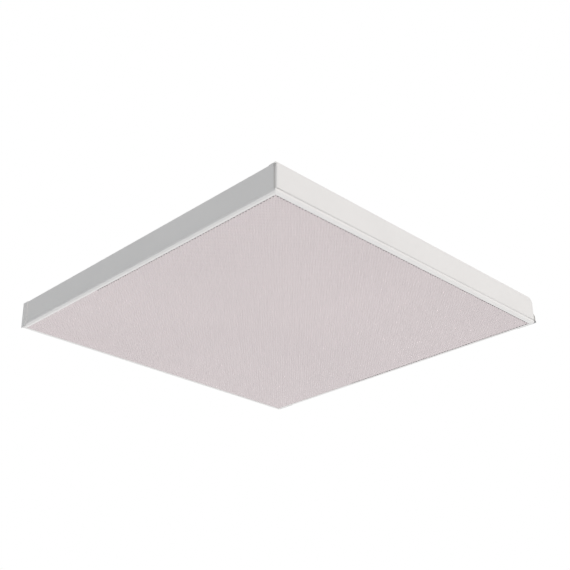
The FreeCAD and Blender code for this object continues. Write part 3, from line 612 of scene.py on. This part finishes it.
def driver_parts():
    b = Build()
    dark, ferrite, film, copper, sleeve, tin = range(6)
    # transformer: core halves around a taped winding
    b.add(*slab(-11, -122, 26.0, 11, -117, 37.0), ferrite)
    b.add(*slab(-11, -101, 26.0, 11, -96, 37.0), ferrite)
    b.add(*slab(-11, -117.5, 26.0, -7.5, -100.5, 37.0), ferrite)
    b.add(*slab(7.5, -117.5, 26.0, 11, -100.5, 37.0), ferrite)
    b.add(*slab(-7.2, -116.5, 27.2, 7.2, -101.5, 36.4, 1.2), film)
    b.add(*slab(-12, -92, 28.0, -4, -78, 37.0, 0.5), film)

    def can(x, y, z0, r):
        body = shell([(0, z0 + 0.25), (r * 0.66, z0 + 0.25), (r * 0.7, z0), (r * 0.9, z0), (r, z0 + 0.5), (r, 35.6), (r * 0.93, 36.0),
                      (r, 36.4), (r * 0.98, 37.0), (0, 37.0)], 36)
        b.add(*body, sleeve, True, place(x, y, 0))
        b.add(*shell([(0, z0 + 0.12), (r * 0.64, z0 + 0.12), (r * 0.64, z0 + 0.5), (0, z0 + 0.5)], 36), tin, False, place(x, y, 0))
        for t in (0, 1):
            b.add(*slab(-r * 0.5, -0.12, z0 + 0.02, r * 0.5, 0.12, z0 + 0.3, 0.05), dark, False, place(x, y, 0, (0, 0, 1), t * math.pi / 2))

    can(6, -84, 25.0, 5.0)
    can(0, -62, 25.0, 6.3)
    can(0, -205, 26.5, 5.0)
    # drum choke: two flanges and a wound waist
    prof = [(0, 27.0), (7.4, 27.0), (8.0, 27.5), (8.0, 28.6), (7.2, 28.8)]
    b.add(*shell(prof + [(6.8, 28.8), (0, 28.8)], 40), ferrite, True, place(-1, -160, 0))
    coil = [(0, 28.7)]
    z = 28.7
    while z < 35.2:
        coil += [(6.7, z + 0.02), (7.0, z + 0.25), (6.7, z + 0.48)]
        z += 0.5
    b.add(*shell(coil + [(0, z)], 40), copper, True, place(-1, -160, 0))
    b.add(*shell([(0, 35.1), (8.0, 35.1), (8.0, 36.6), (7.5, 37.0), (0, 37.0)], 40), ferrite, True, place(-1, -160, 0))
    b.add(*slab(4, -140, 30.0, 12, -130, 37.0, 0.5), film)
    # input filter choke with two windings
    b.add(*slab(-12, -190, 29.0, 10, -178, 37.0, 0.4), ferrite)
    for x0 in (-9.5, 1.0):
        for k in range(8):
            x = x0 + k * 0.85
            b.add(*slab(x, -190.0 + 0.02, 29.02, x + 0.7, -178.02, 37.0, 0.2), copper)
    b.add(*slab(-11, -44, 30.0, 11, -32, 37.0, 0.4), dark)
    for x in (-7.5, -2.5, 2.5, 7.5):
        b.add(*shell([(0, 30.02), (1.4, 30.02), (1.4, 30.6), (0, 30.6)], 16), tin, False, place(x, -38, 0))
    crease(b.piece("driver_components_wound", [MATS["component_dark"], FERRITE, FILM, COPPER, SLEEVE, SCREW], "housing", "component_dark",
                   ("driver_components",)))


rivets()
grommet()
light_sources()
driver_parts()


# ================================================================ diffuser: real pyramids, rows at 45 degrees to the edges
def diffuser():
    half = 294.4
    n = 103                       # half diagonals of a cell from the centre to the pattern's edge
    step = 291.3 / n              # half diagonal of a cell; its side is 4.0 mm
    z0, z1, depth = 0.6, 3.4, 1.0
    idx, verts, faces = {}, [], []

    def vert(i, j):
        k = idx.get((i, j))
        if k is None:
            k = idx[(i, j)] = len(verts)
            verts.append((i * step, j * step, z0))
        return k

    # a cell's corners lie at (i +- 1, j), (i, j +- 1) with i + j odd, its apex at (i, j)
    for i in range(-n + 1, n):
        for j in range(-n + 1, n):
            if (i + j) % 2 == (n % 2):
                continue
            a, b, c, d = vert(i + 1, j), vert(i, j + 1), vert(i - 1, j), vert(i, j - 1)
            k = len(verts)
            verts.append((i * step, j * step, z0 + depth))
            faces += [(b, a, k), (c, b, k), (d, c, k), (a, d, k)]
    co = [len(verts) + q for q in range(4)]
    verts += [(-half, -half, z0), (half, -half, z0), (half, half, z0), (-half, half, z0)]
    return half, z0, z1, verts, faces, co


def make_diffuser():
    half, z0, z1, verts, faces, co = diffuser()
    bm = bmesh.new()
    bv = [bm.verts.new((x * MM, y * MM, z * MM)) for x, y, z in verts]
    for f in faces:
        bm.faces.new([bv[k] for k in f])
    # outline of the sheet and its flat margin
    c = [bv[k] for k in co]
    for a in range(4):
        bm.edges.new((c[a], c[(a + 1) % 4]))
    border = [e for e in bm.edges if len(e.link_faces) < 2]
    res = bmesh.ops.triangle_fill(bm, use_beauty=True, use_dissolve=False, edges=border, normal=(0, 0, -1))
    margin = [g for g in res["geom"] if isinstance(g, bmesh.types.BMFace)]
    # inner ring of the top sheet: rim rounded by a narrow chamfer
    ch = 0.35 * MM
    top = [bm.verts.new((math.copysign(half * MM - ch, v.co.x), math.copysign(half * MM - ch, v.co.y), z1 * MM)) for v in c]
    mid = [bm.verts.new((v.co.x, v.co.y, z1 * MM - ch)) for v in c]
    for a in range(4):
        b = (a + 1) % 4
        bm.faces.new((c[a], c[b], mid[b], mid[a]))
        bm.faces.new((mid[a], mid[b], top[b], top[a]))
    bm.faces.new(top)
    bmesh.ops.recalc_face_normals(bm, faces=bm.faces)
    me = bpy.data.meshes.new("diffuser_prismatic")
    bm.to_mesh(me)
    bm.free()
    # a map for baking: the patterned side seen from below beside the smooth side, the cut edges in strips
    uv = me.uv_layers.new(name="OFBake")
    nl = len(me.loops)
    vi = np.zeros(nl, np.int32)
    me.loops.foreach_get("vertex_index", vi)
    pts = np.array([v.co for v in me.vertices], float)
    norm = np.zeros(len(me.polygons) * 3)
    me.polygons.foreach_get("normal", norm)
    norm = norm.reshape(-1, 3)
    total = np.zeros(len(me.polygons), np.int32)
    me.polygons.foreach_get("loop_total", total)
    ln = np.repeat(norm, total, 0)
    p = pts[vi]
    u = (p[:, 0] / MM + half) / (2 * half)
    w = (p[:, 1] / MM + half) / (2 * half)
    z = (p[:, 2] / MM - z0) / (z1 - z0)
    out = np.stack([0.005 + u * 0.80, 0.005 + w * 0.80], 1)
    up = ln[:, 2] > 0.5
    out[up] = np.stack([0.83 + u[up] * 0.16, 0.005 + w[up] * 0.16], 1)
    for k, (ax, s) in enumerate(((0, -1), (0, 1), (1, -1), (1, 1))):
        m = (ln[:, ax] * s > 0.9)
        along = w if ax == 0 else u
        out[m] = np.stack([0.005 + along[m] * 0.95, 0.84 + k * 0.03 + z[m] * 0.02], 1)
    uv.uv.foreach_set("vector", out.astype(np.float32).ravel())
    me.materials.append(MATS["prismatic_acrylic"])
    ob = bpy.data.objects.new("diffuser_prismatic", me)
    scene.collection.objects.link(ob)
    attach(ob, "door")
    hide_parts("diffuser_panel")
    return ob


make_diffuser()


# ================================================================ stage, light, camera
def studio():
    me = bpy.data.meshes.new("floor")
    R, n = 30.0, 96
    me.from_pydata([(R * math.cos(2 * math.pi * i / n), R * math.sin(2 * math.pi * i / n), -2.5) for i in range(n)], [], [tuple(range(n))])
    m = Mat("floor_pale", Specular_IOR_Level=0.2, Roughness=0.9)
    col = m.mix(m.span(m.noise(0.8, 3.0, 0.5), 0.3, 0.7), (0.70, 0.70, 0.70), (0.72, 0.72, 0.72))
    m.put(m.bsdf.inputs["Emission Color"], (1.0, 1.0, 1.0, 1.0))
    m.put(m.bsdf.inputs["Emission Strength"], 0.36)
    me.materials.append(m.finish(col))
    floor = bpy.data.objects.new("floor", me)
    scene.collection.objects.link(floor)

    world = bpy.data.worlds.new("studio")
    scene.world = world
    world.use_nodes = True
    nt = world.node_tree
    nt.nodes.clear()
    out = nt.nodes.new("ShaderNodeOutputWorld")
    tc = nt.nodes.new("ShaderNodeTexCoord")
    lp = nt.nodes.new("ShaderNodeLightPath")
    chans = []
    for mean, g in zip(SKY_MEAN, SKY_TILT):
        d = nt.nodes.new("ShaderNodeVectorMath")
        d.operation = "DOT_PRODUCT"
        nt.links.new(tc.outputs["Generated"], d.inputs[0])
        d.inputs[1].default_value = g
        a = nt.nodes.new("ShaderNodeMath")
        a.operation = "ADD"
        nt.links.new(d.outputs["Value"], a.inputs[0])
        a.inputs[1].default_value = mean
        c = nt.nodes.new("ShaderNodeMath")
        c.operation = "MAXIMUM"
        nt.links.new(a.outputs[0], c.inputs[0])
        c.inputs[1].default_value = 0.03
        chans.append(c.outputs[0])
    comb = nt.nodes.new("ShaderNodeCombineColor")
    for i, c in enumerate(chans):
        nt.links.new(c, comb.inputs[i])
    soft = nt.nodes.new("ShaderNodeBackground")
    nt.links.new(comb.outputs[0], soft.inputs[0])
    seen = nt.nodes.new("ShaderNodeBackground")
    seen.inputs[0].default_value = (1, 1, 1, 1)
    mix = nt.nodes.new("ShaderNodeMixShader")
    nt.links.new(lp.outputs["Is Camera Ray"], mix.inputs[0])
    nt.links.new(soft.outputs[0], mix.inputs[1])
    nt.links.new(seen.outputs[0], mix.inputs[2])
    nt.links.new(mix.outputs[0], out.inputs[0])


def camera():
    yaw, pitch, roll, f = math.radians(44.538), math.radians(23.850), math.radians(-0.278), 1018.9
    fw = Vector((math.sin(yaw) * math.cos(pitch), math.cos(yaw) * math.cos(pitch), math.sin(pitch)))
    r = Vector((math.cos(yaw), -math.sin(yaw), 0.0))
    u = r.cross(fw)
    r2 = r * math.cos(roll) + u * math.sin(roll)
    u2 = u * math.cos(roll) - r * math.sin(roll)
    cam = bpy.data.cameras.new("camera")
    cam.sensor_width = 36.0
    cam.lens = f / 570.0 * 36.0
    cam.shift_x, cam.shift_y = 12.0 / 570.0, 40.0 / 570.0
    cam.clip_start, cam.clip_end = 0.05, 100.0
    ob = bpy.data.objects.new("camera", cam)
    scene.collection.objects.link(ob)
    m = Matrix((r2, u2, -fw)).transposed().to_4x4()
    m.translation = Vector((-1.07680, -1.08398, -0.67386))
    ob.matrix_world = m
    scene.camera = ob


SKY_MEAN = (0.478, 0.474, 0.471)
SKY_TILT = ((0.50, -0.33, 0.36), (0.47, -0.30, 0.36), (0.44, -0.285, 0.36))
studio()
key = bpy.data.lights.new("key", "SUN")
key.energy, key.angle, key.color = 0.47, math.radians(14), (1.0, 0.94, 0.915)
key_ob = bpy.data.objects.new("key", key)
key_ob.matrix_world = Vector((-0.46, -0.78, 0.42)).to_track_quat("Z", "Y").to_matrix().to_4x4()
scene.collection.objects.link(key_ob)
camera()
